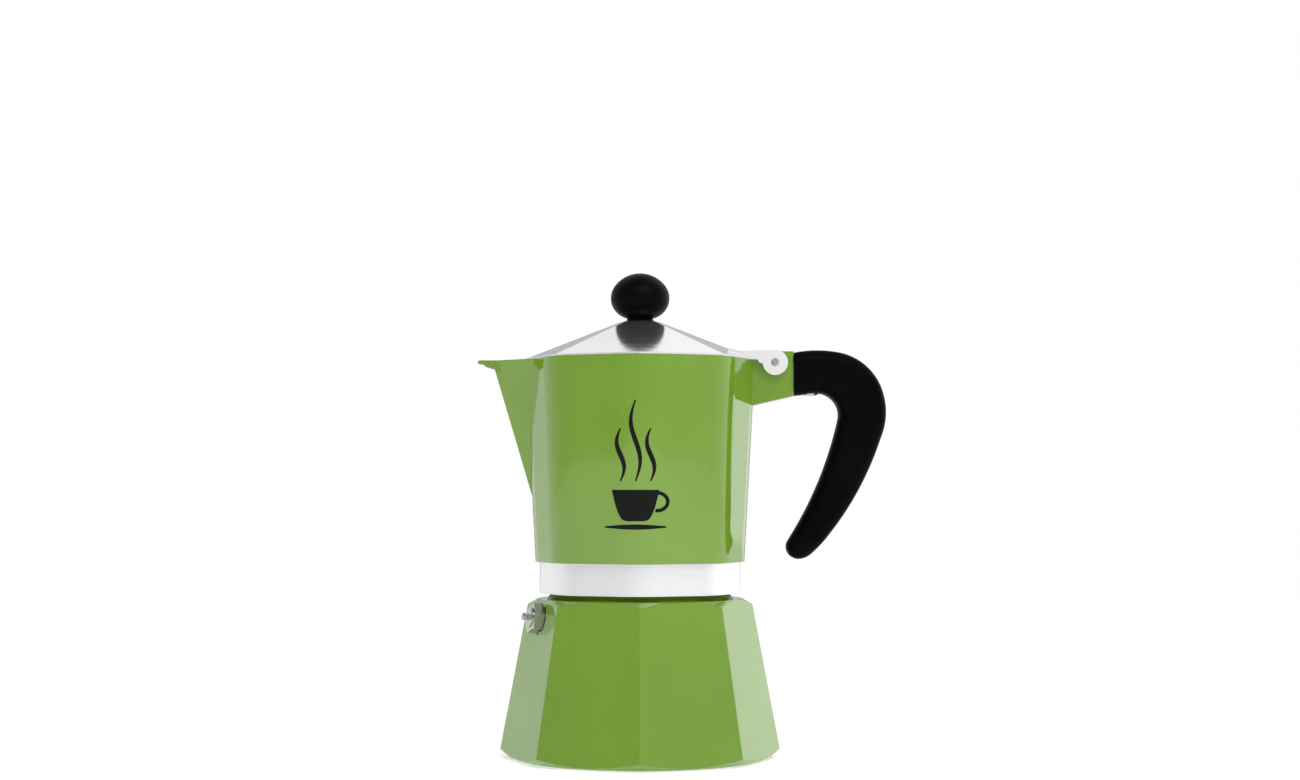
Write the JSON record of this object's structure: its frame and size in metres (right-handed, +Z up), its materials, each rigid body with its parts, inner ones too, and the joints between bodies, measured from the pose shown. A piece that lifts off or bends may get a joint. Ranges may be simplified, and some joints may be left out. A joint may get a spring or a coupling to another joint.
{
  "type": "moka pot",
  "caption": "Stovetop moka pot: faceted boiler with safety valve, funnel and filter, screwed-on spouted collector with side handle, and hinged lid with a round knob.",
  "frame": {"origin": "centre of the boiler's flat base", "axes": "+Z up, +X towards the handle, so the spout points along -X and the lid's hinge pin lies along Y"},
  "size_m": [0.1357, 0.0926, 0.1604],
  "materials": {
    "boiler_enamel": "gloss green enamel over cast aluminium",
    "collector_enamel": "gloss green enamel over cast aluminium, bare polished skirt and inside",
    "lid_aluminium": "polished aluminium",
    "funnel_aluminium": "spun aluminium with fine handling marks",
    "filter_aluminium": "brushed sheet aluminium",
    "gasket_rubber": "pale satin rubber",
    "handle_black": "satin black moulded phenolic",
    "knob_black": "smooth black moulded phenolic",
    "valve_chrome": "nickel-plated brass",
    "steel": "bright steel",
    "brass": "turned brass",
    "column_aluminium": "turned aluminium",
    "seal_rubber": "black rubber"
  },
  "bodies": {
    "boiler_unit": {"boiler": "boiler_enamel", "safety_valve_body": "valve_chrome", "safety_valve_washer": "steel", "safety_valve_spring": "steel"},
    "valve_piston": {"safety_valve_piston": "valve_chrome", "safety_valve_seal": "seal_rubber"},
    "funnel_unit": {"funnel": "funnel_aluminium", "funnel_filter_disc": "filter_aluminium"},
    "gasket_ring": {"gasket": "gasket_rubber"},
    "filter_plate_unit": {"filter_plate": "filter_aluminium"},
    "collector_unit": {"collector": "collector_enamel", "column": "column_aluminium", "hinge_pin": "steel", "handle": "handle_black", "handle_screw": "steel", "handle_screw_washer": "steel"},
    "lid_unit": {"lid": "lid_aluminium", "lid_knob": "knob_black", "knob_insert": "brass", "knob_washer": "steel", "knob_screw": "steel"}
  },
  "joints": [
    {"name": "funnel_lift", "type": "slide", "parent": "boiler_unit", "child": "funnel_unit", "axis": [0, 0, 1], "range_m": [0, 0.067]},
    {"name": "collector_lift", "type": "slide", "parent": "funnel_unit", "child": "gasket_ring", "axis": [0, 0, 1], "range_m": [0, 0.0203]},
    {"name": "thread_rise", "type": "slide", "parent": "gasket_ring", "child": "filter_plate_unit", "axis": [0, 0, 1], "range_m": [0, 0.0021]},
    {"name": "collector_turn", "type": "hinge", "parent": "filter_plate_unit", "child": "collector_unit", "pos_m": [0, 0, 0.0626], "axis": [0, 0, 1], "range_deg": [0, 360]},
    {"name": "lid_hinge", "type": "hinge", "parent": "collector_unit", "child": "lid_unit", "pos_m": [0.0447, 0, 0.1302], "axis": [0, -1, 0], "range_deg": [-110, 0]},
    {"name": "valve_slide", "type": "slide", "parent": "boiler_unit", "child": "valve_piston", "axis": [0.9102, 0.377, -0.1715], "range_m": [-0.0009, 0], "stiffness_N_per_m": 800, "springref_m": 0.001}
  ],
  "couplings": [
    {"joint": "thread_rise", "follows": "collector_turn", "m_per_rad": 0.00031831}
  ]
}
